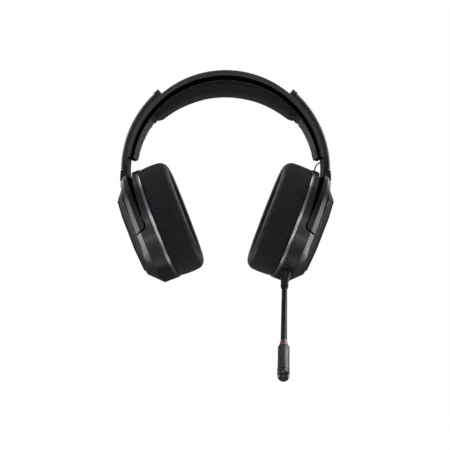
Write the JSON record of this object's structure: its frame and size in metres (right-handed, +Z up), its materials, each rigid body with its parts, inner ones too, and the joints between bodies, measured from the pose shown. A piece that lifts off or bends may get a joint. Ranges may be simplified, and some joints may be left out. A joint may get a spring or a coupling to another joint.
{
  "type": "gaming headset",
  "caption": "Over-ear gaming headset with a padded headband, sliding forks, tilting ear cups with mesh pads, and a plug-in flexible boom microphone.",
  "frame": {"origin": "where the head cushion's underside rests on the crown of the head, midway between the ear cups and between front and back", "axes": "+X towards the wearer's left, where the microphone is; -Y where the wearer looks, so the microphone points along -Y; +Z up"},
  "size_m": [0.1942, 0.2207, 0.2377],
  "materials": {
    "slate_plastic": "satin",
    "black_plastic": "matte",
    "fork_plastic": "satin",
    "grip_plastic": "matte",
    "end_cap_plastic": "satin",
    "gloss_black": "gloss",
    "cover_plastic": "satin",
    "plate_plastic": "satin",
    "silver_trim": "brushed",
    "mesh_fabric": "mesh",
    "scrim": "thin cloth",
    "inner_plastic": "matte",
    "driver_frame": "matte",
    "magnet_steel": "plated",
    "diaphragm": "film",
    "steel": "plain",
    "circuit_board": "coated",
    "battery_wrap": "foil",
    "boot_rubber": "satin",
    "gooseneck_rubber": "satin",
    "red_ring": "gloss",
    "barrel_metal": "anodised",
    "mic_element": "plain",
    "wire_jacket": "matte"
  },
  "bodies": {
    "headband": {"headband_outer_shell": "slate_plastic", "headband_inner_shell": "black_plastic", "headband_spring_band": "steel", "cushion_base_plate": "black_plastic", "head_cushion": "mesh_fabric", "headband_end_screws": "steel"},
    "slider_left": {"slider_fork_left": "fork_plastic", "slider_grip_left": "grip_plastic", "slider_end_cap_left": "end_cap_plastic", "detent_leaf_left": "steel", "pivot_pins_left": "steel", "link_wire": "wire_jacket"},
    "cup_left": {"earcup_housing_left": "gloss_black", "earcup_cover_left": "cover_plastic", "cover_plate_left": "plate_plastic", "trim_ring_left": "silver_trim", "baffle_plate_left": "inner_plastic", "driver_frame_left": "driver_frame", "driver_magnet_left": "magnet_steel", "driver_diaphragm_left": "diaphragm", "pad_retaining_ring_left": "inner_plastic", "scrim_cloth_left": "scrim", "ear_pad_left": "mesh_fabric", "case_screws_left": "steel", "main_board": "circuit_board", "charging_socket": "steel", "mic_jack_socket": "inner_plastic"},
    "slider_right": {"slider_fork_right": "fork_plastic", "slider_grip_right": "grip_plastic", "slider_end_cap_right": "end_cap_plastic", "detent_leaf_right": "steel", "pivot_pins_right": "steel"},
    "cup_right": {"earcup_housing_right": "gloss_black", "earcup_cover_right": "cover_plastic", "cover_plate_right": "plate_plastic", "trim_ring_right": "silver_trim", "baffle_plate_right": "inner_plastic", "driver_frame_right": "driver_frame", "driver_magnet_right": "magnet_steel", "driver_diaphragm_right": "diaphragm", "pad_retaining_ring_right": "inner_plastic", "scrim_cloth_right": "scrim", "ear_pad_right": "mesh_fabric", "case_screws_right": "steel", "battery_right": "battery_wrap"},
    "volume_wheel": {"volume_wheel": "black_plastic"},
    "mute_button": {"mute_button": "black_plastic"},
    "power_button": {"power_button_right": "black_plastic"},
    "mic_plug": {"mic_plug": "steel", "mic_boot": "boot_rubber", "mic_collar": "black_plastic", "gooseneck_1": "gooseneck_rubber"},
    "mic_boom": {"gooseneck_2": "gooseneck_rubber"},
    "mic_capsule": {"gooseneck_3": "gooseneck_rubber", "capsule_collar": "silver_trim", "capsule_ring": "red_ring", "capsule_barrel": "barrel_metal", "capsule_end_cap": "gloss_black", "microphone_element": "mic_element"}
  },
  "joints": [
    {"name": "slide_left", "type": "hinge", "parent": "headband", "child": "slider_left", "pos_m": [0, 0, -0.0684], "axis": [0, 1, 0], "range_deg": [0, 10]},
    {"name": "slide_right", "type": "hinge", "parent": "headband", "child": "slider_right", "pos_m": [0, 0, -0.0684], "axis": [0, -1, 0], "range_deg": [0, 10]},
    {"name": "tilt_left", "type": "hinge", "parent": "slider_left", "child": "cup_left", "pos_m": [0.07366, 0, -0.11848], "axis": [0, 1, 0], "range_deg": [-8, 4], "deforming": ["link_wire"]},
    {"name": "tilt_right", "type": "hinge", "parent": "slider_right", "child": "cup_right", "pos_m": [-0.07366, 0, -0.11848], "axis": [0, -1, 0], "range_deg": [-8, 4]},
    {"name": "volume_turn", "type": "hinge", "parent": "cup_left", "child": "volume_wheel", "pos_m": [0.06417, 0.0378, -0.12983], "axis": [0.9336, 0, -0.3584], "range_deg": [-140, 140]},
    {"name": "mute_press", "type": "slide", "parent": "cup_left", "child": "mute_button", "axis": [0.1458, -0.9135, 0.3797], "range_m": [0, 0.0007], "stiffness_N_per_m": 600},
    {"name": "power_press", "type": "slide", "parent": "cup_right", "child": "power_button", "axis": [-0.0499, -0.9903, 0.1299], "range_m": [0, 0.0007], "stiffness_N_per_m": 600},
    {"name": "mic_unplug", "type": "slide", "parent": "cup_left", "child": "mic_plug", "axis": [-0.2621, -0.682, -0.6828], "range_m": [0, 0.012]},
    {"name": "mic_bend_up", "type": "hinge", "parent": "mic_plug", "child": "mic_boom", "pos_m": [0.04773, -0.06377, -0.17704], "axis": [-0.9949, 0.1004, 0], "range_deg": [-25, 40]},
    {"name": "mic_bend_side", "type": "hinge", "parent": "mic_boom", "child": "mic_capsule", "pos_m": [0.04393, -0.10141, -0.19003], "axis": [-0.0326, -0.3231, 0.9458], "range_deg": [-35, 35]}
  ]
}
